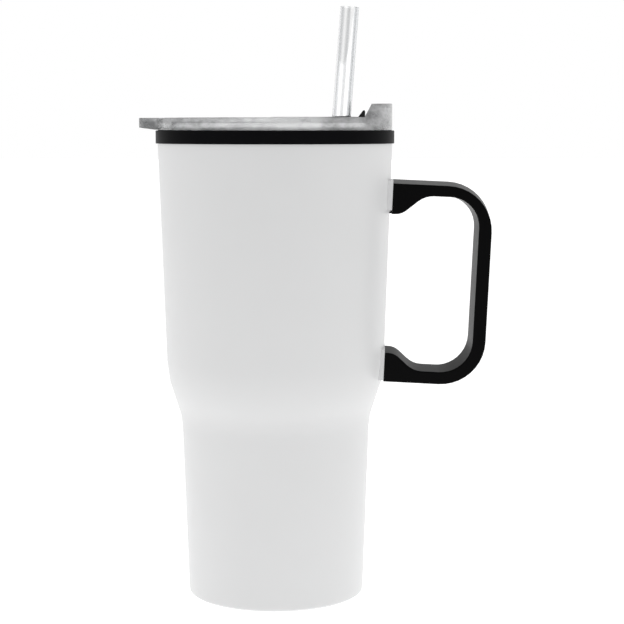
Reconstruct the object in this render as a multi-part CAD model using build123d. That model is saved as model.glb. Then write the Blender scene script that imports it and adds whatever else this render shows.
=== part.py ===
"""Insulated travel tumbler with a side handle, a push-on clear lid with a slide closure, and a straw.

Millimetres, +Z up. The cup's axis is Z, it rests on Z = 0, and the handle points to +X.
A steel shell of two cones holds a plastic liner whose collar caps the shell's top edge, with air between
them. Two screws, driven from inside the shell, hold the handle.
"""

import os
from math import cos, radians, sin, sqrt, tan

from build123d import *

# Steel shell
MOUTH_RADIUS = 49.3  # outside, at the top edge
SHELL_HEIGHT = 194.6
DRAFT = 1.95  # slope of both cones from vertical, degrees
SHOULDER_STEP = 5.35  # how much narrower the lower cone is than the upper one
SHOULDER_HEIGHT = 84.7  # middle of the shoulder
SHOULDER_SLOPE = 23.0  # degrees from vertical
SHOULDER_UPPER_BEND = 50.0
SHOULDER_LOWER_BEND = 29.0
SHELL_WALL = 0.6
FOOT_CORNER = 1.5
FOOT_FLANGE = 3.2  # width of the inturned foot

# Foot pad and base plate
PAD_DROP = 0.5  # how far the pad stands below the steel
PAD_CLEARANCE = 0.3
PAD_GROOVES = (13.0, 21.0, 29.0)  # radii of the grip grooves
PAD_GROOVE_WIDTH = 1.6
PAD_GROOVE_DEPTH = 0.4
BASE_WALL = 0.6

# Plastic liner and its collar
AIR_GAP = 3.4
LINER_WALL = 1.5
LINER_FLOOR = 1.8
FLOOR_GAP = 5.3  # air between the base plate and the liner
LINER_CORNER = 6.0
GASKET_HEIGHT = 1.0
COLLAR_PLATE = 1.9
COLLAR_DROP = 2.5  # how far the skirt hangs past the shell's edge
COLLAR_SKIRT_WALL = 0.65
COLLAR_CLEARANCE = 0.1
SPIGOT_WALL = 1.2
SPIGOT_DROP = 4.0  # how far the spigot reaches into the shell
COLLAR_ROUND = 0.6

# Handle
HANDLE_WIDTH = 24.0
HANDLE_LEAN = 2.6  # top outwards
HANDLE_STANDOFF = 1.0  # between the shell and the top of the upper foot
HANDLE_REACH = 41.75  # from the feet's flat ends to the outside of the grip
HANDLE_HEIGHT = 84.4
HANDLE_TOP_DROP = 17.4  # below the shell's top edge
GRIP_THICKNESS = 6.85
ARM_THICKNESS = 6.05
HANDLE_OUTER_CORNER = 18.7
HANDLE_INNER_CORNER = 12.3
UPPER_FOOT_HEIGHT = 14.15
LOWER_FOOT_HEIGHT = 13.65
FOOT_REACH = 4.0  # level part of each foot
FOOT_RAMP_SLOPE = 40.5
FOOT_NOSE_ROUND = 7.0
FOOT_THROAT_ROUND = 10.0
TOE_SIZE = 1.3  # lip under the upper foot, towards the shell
HANDLE_EDGE_ROUND = 1.2

# Handle screws, washers and spacers
SCREW_RADIUS = 1.65
SCREW_HOLE_CLEARANCE = 0.45
PILOT_CLEARANCE = 0.05
PILOT_DEPTH_SPARE = 1.0
SCREW_HEAD_RADIUS = 3.3
SCREW_HEAD_HEIGHT = 1.6
SCREW_BITE = 9.0  # length in the handle
SCREW_SLOT = (4.2, 0.9, 0.8)  # length, width and depth of each arm of the cross recess
SCREW_EDGE = 4.4  # from the handle's top or bottom to the screw
WASHER_RADIUS = 5.0
WASHER_THICKNESS = 0.9
SPACER_SETBACK = 0.3  # from the ends of a foot's flat face

# Lid
LID_SETBACK = 0.9  # the lid's edge inside the collar's
LID_HEIGHT = 5.2
RIM_WALL = 1.8
RIM_ROUND = 0.6
DECK_DROP = 2.1  # below the rim's top
DECK_THICKNESS = 1.8
PLUG_DEPTH = 10.5
PLUG_WALL = 2.0
PLUG_CLEARANCE = 0.9
VENT_RADIUS = 1.0
VENT_SETBACK = 10.6  # from the inside of the plug

# Lid seal
SEAL_GROOVE_HEIGHT = 3.4
SEAL_GROOVE_DEPTH = 1.0
SEAL_GROOVE_LIFT = 1.8  # above the plug's lower end
SEAL_GAP = 0.15
SEAL_LIP = 0.8

# Lifting tab, opposite the spout
TAB_REACH = 7.55
TAB_ROOT_WIDTH = 24.0
TAB_TIP_WIDTH = 17.0
TAB_TIP_HEIGHT = 4.0
TAB_ROOT_HEIGHT = 4.9
TAB_WALL = 1.6
TAB_CORNER = 3.5

# Spout: a raised segment of the lid with a ramp on its inner side
SPOUT_RISE = 6.0
SPOUT_LENGTH = 8.5  # level top, from the lid's edge inwards
SPOUT_TOP_FALL = 0.4
SPOUT_WALL = 1.8
SPOUT_ROUND = 0.8
RAMP_RUN = 4.0  # ramp's length along X, from the deck to the top

# Slide closure
SLIDER_LENGTH = 25.2
SLIDER_WIDTH = 18.2
SLIDER_THICKNESS = 1.6
SLIDER_TRAVEL = 12.0
SLIDER_CLEARANCE = 0.15
RAIL_WALL = 1.7
RAIL_LIP = 1.0
RAIL_LIP_HEIGHT = 0.6
NOSE_DEPTH = 1.15  # of the closed slider's nose in the ramp
THUMB_LENGTH = 3.4
THUMB_WIDTH = 12.0
THUMB_RISE = 3.5  # above the slider
GRIP_RIBS = 3
GRIP_RIB_PITCH = 3.0
GRIP_RIB_SIZE = (1.0, 11.0, 0.45)
SIP_LENGTH = 7.0
SIP_WIDTH = 13.0
SIP_CORNER = 3.0
SIP_SETBACK = 2.4  # from the slider's nose
SLIDE_SEAL_MARGIN = 1.3  # the seal's overlap round the sip opening
SLIDE_SEAL_THICKNESS = 0.8

# Straw and its grommet
STRAW_RADIUS = 4.0
STRAW_WALL = 0.8
STRAW_RISE = 49.55  # length above the lid's deck
STRAW_LEAN = 4.9  # outwards, degrees
STRAW_FLOOR_GAP = 0.2
STRAW_LIP_ROUND = 0.25
GROMMET_WALL = 1.0
GROMMET_CLEARANCE = 0.1
GROMMET_FLANGE = 1.1
GROMMET_CAP = 0.7
GROMMET_LIP = 0.9
GROMMET_ROOM = 2.15  # between the grommet's lip and the plug
BOSS_WALL = 1.0
BOSS_RISE = 2.0

# Levels and radii that follow from the sizes above
foot_level = PAD_DROP
base_level = foot_level + SHELL_WALL
liner_level = base_level + BASE_WALL + FLOOR_GAP
floor_level = liner_level + LINER_FLOOR
collar_underside = SHELL_HEIGHT + GASKET_HEIGHT
collar_top = collar_underside + COLLAR_PLATE
collar_radius = MOUTH_RADIUS + COLLAR_CLEARANCE + COLLAR_SKIRT_WALL
liner_inset = SHELL_WALL + AIR_GAP
cavity_inset = liner_inset + LINER_WALL
lid_radius = collar_radius - LID_SETBACK
lid_top = collar_top + LID_HEIGHT
deck_top = lid_top - DECK_DROP
deck_underside = deck_top - DECK_THICKNESS
plug_foot = collar_top - PLUG_DEPTH
shoulder_slope = tan(radians(SHOULDER_SLOPE))

AT_BASE = (Align.CENTER, Align.CENTER, Align.MIN)


def cone_radius(height, inset=0.0, lower=False):
    """Radius of the upper or lower cone, this far inside the shell's outer surface."""
    slope = tan(radians(DRAFT))
    step = SHOULDER_STEP if lower else 0.0
    return MOUTH_RADIUS - (SHELL_HEIGHT - height) * slope - step - inset / cos(radians(DRAFT))


def shoulder_radius(height, inset=0.0):
    """Radius of the shoulder's own slope, this far inside the shell's outer surface."""
    middle = cone_radius(SHOULDER_HEIGHT) - SHOULDER_STEP / 2
    return middle + (height - SHOULDER_HEIGHT) * shoulder_slope - inset / cos(radians(SHOULDER_SLOPE))


def side_radius(height, inset=0.0):
    """Radius of the cup's side, before its bends are rounded."""
    lower = max(cone_radius(height, inset, lower=True), shoulder_radius(height, inset))
    return min(cone_radius(height, inset), lower)


def wall_path(inset, start, start_radii, top):
    """The cup's side at an inset, from the start points up to a level: both cones and the shoulder."""
    corners = []
    for lower in (True, False):
        gap = cone_radius(0, inset, lower) - shoulder_radius(0, inset)
        height = gap / (shoulder_slope - tan(radians(DRAFT)))
        corners.append((cone_radius(height, inset, lower), height))
    bend = tan(radians(SHOULDER_SLOPE - DRAFT) / 2)
    room = (corners[1][1] - corners[0][1]) / cos(radians(SHOULDER_SLOPE))
    share = min(1.0, 0.99 * room / ((SHOULDER_UPPER_BEND + SHOULDER_LOWER_BEND) * bend))
    radii = [SHOULDER_LOWER_BEND * share + inset, SHOULDER_UPPER_BEND * share - inset]
    points = [*start, *corners, (cone_radius(top, inset), top)]
    return FilletPolyline(*points, radius=[*start_radii, *radii])


def turned(*edges):
    """The solid that a closed outline in the XZ plane makes, turned about Z."""
    placed = [Plane.XZ * edge for edge in edges]
    return revolve(make_face([part for curve in placed for part in curve.edges()]), Axis.Z)


def ring(inner, outer, low, high):
    """A plain ring about Z."""
    blank = Cylinder(outer, high - low, align=AT_BASE) - Cylinder(inner, high - low, align=AT_BASE)
    return Pos(0, 0, low) * blank


def block(low, high):
    """A box between two corners."""
    size = [b - a for a, b in zip(low, high)]
    middle = [(a + b) / 2 for a, b in zip(low, high)]
    return Pos(*middle) * Box(*size)


def slab(outline, half_width):
    """A polygon in the XZ plane, made this thick to each side of it."""
    return extrude(Plane.XZ * make_face(Polyline(*outline, close=True)), half_width, both=True)


def cup_solid(inset, low, high):
    """Everything inside the cup's side at an inset, between two levels."""
    foot = (cone_radius(low, inset, lower=True), low)
    side = wall_path(inset, [foot], [], high)
    rim = (cone_radius(high, inset), high)
    return turned(side, Polyline(foot, (0, low), (0, high), rim))


def outer_shell():
    """Steel shell with an inturned foot and a clearance hole for each screw."""
    flange = cone_radius(foot_level, lower=True) - FOOT_FLANGE
    outer_foot = [(flange, foot_level), (cone_radius(foot_level, lower=True), foot_level)]
    inner_foot = [(flange, base_level), (cone_radius(base_level, SHELL_WALL, lower=True), base_level)]
    outside = wall_path(0, outer_foot, [FOOT_CORNER], SHELL_HEIGHT)
    inside = wall_path(SHELL_WALL, inner_foot, [FOOT_CORNER - SHELL_WALL], SHELL_HEIGHT)
    shell = turned(
        outside,
        inside,
        Line(outside @ 0, inside @ 0),
        Line(outside @ 1, inside @ 1),
    )
    for height in screw_heights():
        shell -= screw_bar(SCREW_RADIUS + SCREW_HOLE_CLEARANCE, height, 0, MOUTH_RADIUS)
    return shell


def base_radius():
    """The base plate reaches to the bend inside the shell's foot."""
    return cone_radius(base_level, SHELL_WALL, lower=True) - (FOOT_CORNER - SHELL_WALL)


def base_plate():
    """Steel disc welded on the shell's inturned foot."""
    return Pos(0, 0, base_level) * Cylinder(base_radius(), BASE_WALL, align=AT_BASE)


def foot_pad():
    """Silicone disc in the recess under the base plate, with grip grooves in its face."""
    radius = cone_radius(foot_level, lower=True) - FOOT_FLANGE - PAD_CLEARANCE
    pad = Cylinder(radius, base_level, align=AT_BASE)
    pad = fillet(pad.edges().group_by(Axis.Z)[0], PAD_DROP / 2)
    for middle in PAD_GROOVES:
        half = PAD_GROOVE_WIDTH / 2
        pad -= ring(middle - half, middle + half, 0, PAD_GROOVE_DEPTH)
    return pad


def inner_liner():
    """Plastic liner: a thin cup, a collar plate, a skirt outside the shell and a spigot inside it."""
    outer_foot = [(0, liner_level), (cone_radius(liner_level, liner_inset, lower=True), liner_level)]
    inner_foot = [(0, floor_level), (cone_radius(floor_level, cavity_inset, lower=True), floor_level)]
    outside = wall_path(liner_inset, outer_foot, [LINER_CORNER], collar_underside)
    inside = wall_path(cavity_inset, inner_foot, [LINER_CORNER - LINER_WALL], collar_top)
    skirt_foot = SHELL_HEIGHT - COLLAR_DROP
    skirt_inner = MOUTH_RADIUS + COLLAR_CLEARANCE
    spigot_foot = SHELL_HEIGHT - SPIGOT_DROP
    spigot_outer = cone_radius(spigot_foot, SHELL_WALL) - COLLAR_CLEARANCE
    spigot_inner = spigot_outer - SPIGOT_WALL
    wall_top = cone_radius(collar_underside, liner_inset)
    collar = Polyline(
        (wall_top, collar_underside),
        (spigot_inner, collar_underside),
        (spigot_inner, spigot_foot),
        (spigot_outer, spigot_foot),
        (spigot_outer, collar_underside),
        (skirt_inner, collar_underside),
        (skirt_inner, skirt_foot),
        (collar_radius, skirt_foot),
        (collar_radius, collar_top),
        (cone_radius(collar_top, cavity_inset), collar_top),
    )
    axis_line = Line((0, liner_level), (0, floor_level))
    liner = turned(outside, inside, collar, axis_line)
    top_edges = liner.edges().filter_by(GeomType.CIRCLE).group_by(Axis.Z)[-1]
    return fillet(top_edges, COLLAR_ROUND)


def collar_gasket():
    """Flat ring squeezed between the shell's top edge and the collar."""
    inner = cone_radius(SHELL_HEIGHT - SPIGOT_DROP, SHELL_WALL)
    return ring(inner, MOUTH_RADIUS, SHELL_HEIGHT, collar_underside)


def handle_frame():
    """A frame at the upper foot's top corner, with X out along the arms and Z up along the feet."""
    top = SHELL_HEIGHT - HANDLE_TOP_DROP
    return Pos(cone_radius(top) + HANDLE_STANDOFF, 0, top) * Rot(0, HANDLE_LEAN, 0)


def screw_heights():
    """Both screws, lower one last."""
    top = SHELL_HEIGHT - HANDLE_TOP_DROP
    return top - SCREW_EDGE, top - HANDLE_HEIGHT * cos(radians(HANDLE_LEAN)) + SCREW_EDGE


def screw_bar(radius, height, start, end):
    """A round bar along X at a screw's height."""
    bar = Cylinder(radius, end - start, align=AT_BASE)
    return Pos(start, 0, height) * Rot(0, 90, 0) * bar


def screw_seat(height):
    """Where a washer's flat face lies, on the X axis."""
    shell_inside = side_radius(height - WASHER_RADIUS, SHELL_WALL)
    return sqrt(shell_inside**2 - WASHER_RADIUS**2) - WASHER_THICKNESS


def handle():
    """C-shaped grip with two flat-ended feet, rounded along its edges."""
    ramp = 1 / tan(radians(FOOT_RAMP_SLOPE))
    grip_inside = HANDLE_REACH - GRIP_THICKNESS
    upper_throat = FOOT_REACH + (UPPER_FOOT_HEIGHT - ARM_THICKNESS) * ramp
    lower_throat = FOOT_REACH + (LOWER_FOOT_HEIGHT - ARM_THICKNESS) * ramp
    lower_foot = LOWER_FOOT_HEIGHT - HANDLE_HEIGHT
    lower_arm = ARM_THICKNESS - HANDLE_HEIGHT
    outer = FilletPolyline(
        (0, 0),
        (HANDLE_REACH, 0),
        (HANDLE_REACH, -HANDLE_HEIGHT),
        (0, -HANDLE_HEIGHT),
        radius=HANDLE_OUTER_CORNER,
    )
    inner = FilletPolyline(
        (0, -UPPER_FOOT_HEIGHT),
        (FOOT_REACH, -UPPER_FOOT_HEIGHT),
        (upper_throat, -ARM_THICKNESS),
        (grip_inside, -ARM_THICKNESS),
        (grip_inside, lower_arm),
        (lower_throat, lower_arm),
        (FOOT_REACH, lower_foot),
        (0, lower_foot),
        radius=[
            FOOT_NOSE_ROUND,
            FOOT_THROAT_ROUND,
            HANDLE_INNER_CORNER,
            HANDLE_INNER_CORNER,
            FOOT_THROAT_ROUND,
            FOOT_NOSE_ROUND,
        ],
    )
    ends = [Line(outer @ 0, inner @ 0), Line(outer @ 1, inner @ 1)]
    edges = [part for curve in (outer, inner, *ends) for part in (Plane.XZ * curve).edges()]
    grip = extrude(make_face(edges), HANDLE_WIDTH / 2, both=True)
    grip = fillet(grip.faces().filter_by(Axis.Y).edges(), HANDLE_EDGE_ROUND)
    toe = [(0, TOE_SIZE), (-TOE_SIZE, 0), (TOE_SIZE, 0), (TOE_SIZE, TOE_SIZE)]
    grip += Pos(0, 0, -UPPER_FOOT_HEIGHT) * slab(toe, HANDLE_WIDTH / 2 - 2 * HANDLE_EDGE_ROUND)
    grip = handle_frame() * grip - cup_solid(0, foot_level, SHELL_HEIGHT)
    for height in screw_heights():
        end = side_radius(height) + SCREW_BITE + PILOT_DEPTH_SPARE
        grip -= screw_bar(SCREW_RADIUS + PILOT_CLEARANCE, height, 0, end)
    return grip


def handle_spacers():
    """Two pads under the feet, flat outside and curved to the shell."""
    pads = []
    width = HANDLE_WIDTH - 2 * HANDLE_EDGE_ROUND
    upper = (TOE_SIZE - UPPER_FOOT_HEIGHT + SPACER_SETBACK, -SPACER_SETBACK)
    lower = (SPACER_SETBACK - HANDLE_HEIGHT, LOWER_FOOT_HEIGHT - HANDLE_HEIGHT - SPACER_SETBACK)
    for height, (low, high) in zip(screw_heights(), (upper, lower)):
        blank = block((-FOOT_REACH, -width / 2, low), (0, width / 2, high))
        pad = handle_frame() * blank - cup_solid(0, foot_level, SHELL_HEIGHT)
        end = side_radius(height) + SCREW_BITE
        pads.append(pad - screw_bar(SCREW_RADIUS + SCREW_HOLE_CLEARANCE, height, 0, end))
    return Compound([pad.solids()[0] for pad in pads])


def handle_screws():
    """Two pan-head screws with cross recesses, driven outwards from inside the shell."""
    screws = []
    length, width, depth = SCREW_SLOT
    for height in screw_heights():
        seat = screw_seat(height)
        head_end = seat - SCREW_HEAD_HEIGHT
        head = screw_bar(SCREW_HEAD_RADIUS, height, head_end, seat)
        head = fillet(head.edges().sort_by(Axis.X)[0], SCREW_HEAD_HEIGHT / 2)
        for size in ((depth, length, width), (depth, width, length)):
            head -= Pos(head_end + depth / 2, 0, height) * Box(*size)
        end = side_radius(height) + SCREW_BITE
        shank = screw_bar(SCREW_RADIUS, height, seat, end)
        screws.append(head + chamfer(shank.edges().sort_by(Axis.X)[-1], SCREW_RADIUS / 2))
    return Compound(screws)


def saddle_washers():
    """Two washers, flat under the screw's head and curved to the inside of the shell."""
    washers = []
    liner_space = cup_solid(SHELL_WALL, liner_level, SHELL_HEIGHT)
    for height in screw_heights():
        seat = screw_seat(height)
        blank = screw_bar(WASHER_RADIUS, height, seat, MOUTH_RADIUS)
        blank -= screw_bar(SCREW_RADIUS + SCREW_HOLE_CLEARANCE, height, seat, MOUTH_RADIUS)
        washers.append((blank & liner_space).solids()[0])
    return Compound(washers)


def ramp_toe():
    """Where the spout's ramp meets the deck, along X."""
    return lid_radius - SPOUT_LENGTH - RAMP_RUN


def slider_nose():
    """The closed slider's outer end, along X."""
    return ramp_toe() + NOSE_DEPTH


def notch_end():
    """The wall behind the closed slider's nose, along X."""
    return slider_nose() + SLIDER_CLEARANCE


def track_side():
    """From the lid's middle to the inside of a rail."""
    return SLIDER_WIDTH / 2 + SLIDER_CLEARANCE


def rail_side():
    """From the lid's middle to the outside of a rail."""
    return track_side() + RAIL_WALL


def lid_blank():
    """The lid's round parts: rim, deck and plug with the seal's groove."""
    plug_outer = plug_radius()
    groove_low = plug_foot + SEAL_GROOVE_LIFT
    groove_high = groove_low + SEAL_GROOVE_HEIGHT
    rim = ring(lid_radius - RIM_WALL, lid_radius, collar_top, lid_top)
    rim = fillet(rim.edges().group_by(Axis.Z)[-1], RIM_ROUND)
    blank = rim + Pos(0, 0, deck_underside) * Cylinder(lid_radius, DECK_THICKNESS, align=AT_BASE)
    blank += ring(plug_radius(PLUG_WALL), plug_outer, plug_foot, deck_underside)
    blank -= ring(plug_outer - SEAL_GROOVE_DEPTH, plug_outer + 1, groove_low, groove_high)
    return blank


def plug_radius(inset=0.0):
    """Outside of the plug, which clears the liner's mouth at the plug's lower end."""
    return cone_radius(plug_foot, cavity_inset) - PLUG_CLEARANCE - inset


def tab():
    """Lifting tab: a tapered plate with a turned-down edge, open underneath."""
    tip = -(lid_radius + TAB_REACH)
    root = -lid_radius + RIM_WALL
    side = [
        (tip, lid_top),
        (root, lid_top),
        (root, lid_top - TAB_ROOT_HEIGHT),
        (-lid_radius, lid_top - TAB_ROOT_HEIGHT),
        (tip, lid_top - TAB_TIP_HEIGHT),
    ]
    shapes = []
    for inset in (0, TAB_WALL):
        plan = Polyline(
            (root, -TAB_ROOT_WIDTH / 2 + inset),
            (tip + inset, -TAB_TIP_WIDTH / 2 + inset),
            (tip + inset, TAB_TIP_WIDTH / 2 - inset),
            (root, TAB_ROOT_WIDTH / 2 - inset),
            close=True,
        )
        plate = Pos(0, 0, lid_top - LID_HEIGHT) * extrude(make_face(plan), LID_HEIGHT - inset)
        corners = plate.edges().filter_by(Axis.Z).group_by(Axis.X)[0]
        shapes.append(fillet(corners, TAB_CORNER - inset))
    solid = shapes[0] & slab(side, TAB_ROOT_WIDTH)
    return solid - (shapes[1] - Cylinder(lid_radius, lid_top * 3))


def spout():
    """Raised segment along the lid's edge: level on top, with a ramp down to the deck."""
    top = lid_top + SPOUT_RISE
    inner = lid_radius - SPOUT_LENGTH
    outline = [
        (ramp_toe(), deck_top),
        (inner, top - SPOUT_TOP_FALL),
        (lid_radius + 1, top),
        (lid_radius + 1, deck_underside),
        (ramp_toe(), deck_underside),
    ]
    segment = slab(outline, lid_radius) & Cylinder(lid_radius, top * 3)
    crown = segment.edges().filter_by(lambda edge: edge.center().Z > top - 2 * SPOUT_TOP_FALL)
    return fillet(crown, SPOUT_ROUND)


def spout_cores():
    """Hollows that keep the spout's walls even: an arc outside the plug and two pockets inside it."""
    top = lid_top + SPOUT_RISE - SPOUT_WALL
    run_per_rise = RAMP_RUN / (lid_top + SPOUT_RISE - SPOUT_TOP_FALL - deck_top)
    start = ramp_toe() + SPOUT_WALL * sqrt(1 + run_per_rise**2)
    outline = [
        (start - DECK_THICKNESS * run_per_rise, deck_underside),
        (start + (top - deck_top) * run_per_rise, top),
        (lid_radius, top),
        (lid_radius, deck_underside),
    ]
    hollow = slab(outline, lid_radius)
    arc = hollow & ring(plug_radius(), lid_radius - RIM_WALL, deck_underside, top)
    pockets = hollow & Cylinder(plug_radius(PLUG_WALL), top * 3)
    pockets -= block((0, -rail_side(), 0), (lid_radius, rail_side(), top))
    x, y = straw_hole()
    pockets -= Pos(x, y, 0) * Cylinder(straw_relief() + SPOUT_WALL, top * 3)
    return arc, pockets


def sleeve_radius():
    """Outside of the grommet's sleeve, where the lid's boss holds it."""
    return STRAW_RADIUS + GROMMET_CLEARANCE + GROMMET_WALL


def straw_relief():
    """Radius cleared round the straw, through the spout's ramp."""
    return sleeve_radius() + GROMMET_FLANGE + 4 * GROMMET_CLEARANCE


def straw_hole():
    """Where the straw crosses the deck: beside the slider's rail and as far out as the plug allows."""
    reach = plug_radius(PLUG_WALL) - sleeve_radius() - GROMMET_LIP - GROMMET_ROOM
    y = rail_side() + straw_relief()
    return sqrt(reach**2 - y**2), y


def sip_opening(margin=0.0):
    """Outline of the sip opening, or of the seal over it, as a tall prism."""
    end = slider_nose() - SIP_SETBACK
    shape = RectangleRounded(SIP_LENGTH + 2 * margin, SIP_WIDTH + 2 * margin, SIP_CORNER)
    return Pos(end - SIP_LENGTH / 2, 0, 0) * shape


def rails():
    """Two rails with lips over the slider's edges, and a stop across their inner end."""
    start = slider_nose() - SLIDER_LENGTH - SLIDER_TRAVEL - SLIDER_CLEARANCE
    end = ramp_toe()
    lip_low = deck_top + SLIDER_THICKNESS + 2 * SLIDER_CLEARANCE
    top = lip_low + RAIL_LIP_HEIGHT
    parts = [block((start - RAIL_WALL, -rail_side(), deck_top), (start, rail_side(), top))]
    for side in (-1, 1):
        walls = sorted([side * track_side(), side * rail_side()])
        lips = sorted([side * (track_side() - RAIL_LIP), side * track_side()])
        parts.append(block((start, walls[0], deck_top), (end, walls[1], top)))
        parts.append(block((start, lips[0], lip_low), (end, lips[1], top)))
    return parts


def lid_body():
    """Clear lid: round blank, tab, spout, slider track, straw boss, sip opening and vent."""
    lid = lid_blank() + tab() + spout()
    for hollow in spout_cores():
        lid -= hollow
    notch_top = lid_top + SPOUT_RISE + 1
    lid -= block((ramp_toe() - 1, -track_side(), deck_top), (notch_end(), track_side(), notch_top))
    x, y = straw_hole()
    sleeve = sleeve_radius()
    lid -= Pos(x, y, deck_top) * Cylinder(straw_relief(), lid_top, align=AT_BASE)
    lid += Pos(x, y, 0) * ring(sleeve, sleeve + BOSS_WALL, deck_underside, deck_top + BOSS_RISE)
    lid -= Pos(x, y, 0) * Cylinder(sleeve, lid_top * 3)
    for part in rails():
        lid += part
    lid -= Pos(0, 0, deck_underside) * extrude(sip_opening(), DECK_THICKNESS)
    vent = -(plug_radius(PLUG_WALL) - VENT_SETBACK)
    return lid - Pos(vent, 0, 0) * Cylinder(VENT_RADIUS, lid_top * 3)


def lid_seal():
    """Silicone ring in the plug's groove, with two lips towards the liner."""
    inner = plug_radius() - SEAL_GROOVE_DEPTH + 0.05
    low = plug_foot + SEAL_GROOVE_LIFT + 0.1
    high = low + SEAL_GROOVE_HEIGHT - 0.2
    outer = cone_radius(plug_foot, cavity_inset) - SEAL_GAP
    base = plug_radius() + 0.1
    seal = ring(inner, base, low, high)
    for start in (low, high - SEAL_LIP):
        lip = ring(inner, outer, start, start + SEAL_LIP)
        rims = lip.edges().filter_by(GeomType.CIRCLE)
        seal += fillet(rims.group_by(lambda edge: edge.radius)[-1], SEAL_LIP * 0.4)
    return seal


def slide_closure():
    """Sliding plate with a thumb wedge at its nose, grip ribs and a pocket for its seal."""
    nose, half = slider_nose(), SLIDER_WIDTH / 2
    low = deck_top + SLIDER_CLEARANCE
    high = low + SLIDER_THICKNESS
    plate = block((nose - SLIDER_LENGTH, -half, low), (nose, half, high))
    plate = fillet(plate.edges().filter_by(Axis.Z), 1.2)
    thumb = slab(
        [
            (nose - THUMB_LENGTH, high),
            (nose - 0.8, high + THUMB_RISE),
            (nose, high + THUMB_RISE),
            (nose, high - 0.5),
            (nose - THUMB_LENGTH, high - 0.5),
        ],
        THUMB_WIDTH / 2,
    )
    thumb = fillet(thumb.edges().filter_by(lambda edge: edge.center().Z > high + 0.5), 0.35)
    plate += thumb
    length, width, rise = GRIP_RIB_SIZE
    first = nose - THUMB_LENGTH - GRIP_RIB_PITCH
    for index in range(GRIP_RIBS):
        rib = Pos(first - index * GRIP_RIB_PITCH, 0, high) * Box(length, width, 2 * rise)
        plate += fillet(rib.edges().filter_by(Axis.Y).group_by(Axis.Z)[-1], rise / 2)
    pocket = extrude(sip_opening(SLIDE_SEAL_MARGIN), SLIDE_SEAL_THICKNESS - 0.1)
    return plate - Pos(0, 0, low) * pocket


def slide_seal():
    """Silicone pad in the slider's underside, over the sip opening."""
    low = deck_top + SLIDER_CLEARANCE - 0.1
    pad = extrude(sip_opening(SLIDE_SEAL_MARGIN - 0.05), SLIDE_SEAL_THICKNESS)
    return Pos(0, 0, low) * pad


def straw_frame():
    """A frame whose Z is the straw's axis, with its origin where the straw crosses the deck."""
    x, y = straw_hole()
    outwards = Vector(x, y, 0).normalized() * sin(radians(STRAW_LEAN))
    return Plane(origin=(x, y, deck_top), z_dir=outwards + Vector(0, 0, cos(radians(STRAW_LEAN))))


def straw():
    """Straight clear tube, rounded at both ends, that stands on the liner's floor."""
    lean = radians(STRAW_LEAN)
    foot = floor_level + STRAW_FLOOR_GAP + STRAW_RADIUS * sin(lean)
    sunk = (deck_top - foot) / cos(lean)
    tube = ring(STRAW_RADIUS - STRAW_WALL, STRAW_RADIUS, -sunk, STRAW_RISE)
    tube = fillet(tube.edges().filter_by(GeomType.CIRCLE), STRAW_LIP_ROUND)
    return straw_frame() * tube


def straw_grommet():
    """Silicone sleeve in the boss, capped on top and lipped under the deck, bored along the straw."""
    sleeve = sleeve_radius()
    cap_low = deck_top + BOSS_RISE
    cap_high = cap_low + GROMMET_CAP
    x, y = straw_hole()
    body = ring(0.5, sleeve - 0.02, deck_underside - GROMMET_LIP, cap_high)
    cap = ring(0.5, sleeve + GROMMET_FLANGE, cap_low, cap_high)
    cap = fillet(cap.edges().group_by(Axis.Z)[-1].sort_by(SortBy.RADIUS)[-1], GROMMET_CAP * 0.4)
    lip = ring(0.5, sleeve + GROMMET_LIP, deck_underside - GROMMET_LIP, deck_underside)
    lip = fillet(lip.edges().group_by(Axis.Z)[0].sort_by(SortBy.RADIUS)[-1], GROMMET_LIP * 0.5)
    bore = Cylinder(STRAW_RADIUS + GROMMET_CLEARANCE, SHELL_HEIGHT)
    return Pos(x, y, 0) * (body + cap + lip) - straw_frame() * bore


PARTS = {
    "outer_shell": outer_shell,
    "base_plate": base_plate,
    "foot_pad": foot_pad,
    "inner_liner": inner_liner,
    "collar_gasket": collar_gasket,
    "handle": handle,
    "handle_spacers": handle_spacers,
    "handle_screws": handle_screws,
    "saddle_washers": saddle_washers,
    "lid_body": lid_body,
    "lid_seal": lid_seal,
    "slide_closure": slide_closure,
    "slide_seal": slide_seal,
    "straw": straw,
    "straw_grommet": straw_grommet,
}

os.makedirs("parts", exist_ok=True)
for name, make in PARTS.items():
    export_step(make(), f"parts/{name}.step")
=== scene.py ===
"""The tumbler's finished look: a powder-coated shell, black mouldings, a clear lid and a clear straw.

Metres, +Z up, in the same frame as the solid model: the cup stands on Z = 0 and its handle points to +X.
Levels come from the frame's boxes; the sizes that a box can't give are named below.
"""

from contextlib import contextmanager
from math import cos, pi, radians, sin, sqrt, tan

import bmesh
import bpy
from mathutils import Matrix, Vector


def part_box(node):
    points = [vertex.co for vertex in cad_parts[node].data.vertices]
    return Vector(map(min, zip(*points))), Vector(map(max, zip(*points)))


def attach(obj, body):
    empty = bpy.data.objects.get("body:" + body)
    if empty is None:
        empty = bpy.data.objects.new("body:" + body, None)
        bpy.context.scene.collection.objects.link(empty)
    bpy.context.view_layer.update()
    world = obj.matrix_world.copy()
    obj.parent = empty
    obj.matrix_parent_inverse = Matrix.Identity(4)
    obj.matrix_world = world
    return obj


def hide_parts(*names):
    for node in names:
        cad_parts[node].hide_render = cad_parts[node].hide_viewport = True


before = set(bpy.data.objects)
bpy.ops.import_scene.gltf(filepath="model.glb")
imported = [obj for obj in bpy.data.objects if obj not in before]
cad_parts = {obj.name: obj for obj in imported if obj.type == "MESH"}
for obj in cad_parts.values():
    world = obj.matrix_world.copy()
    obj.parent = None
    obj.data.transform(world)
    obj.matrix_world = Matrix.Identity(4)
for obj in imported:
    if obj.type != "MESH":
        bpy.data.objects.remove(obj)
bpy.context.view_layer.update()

TURN_STEPS = 192  # faces round a turned piece
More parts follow.
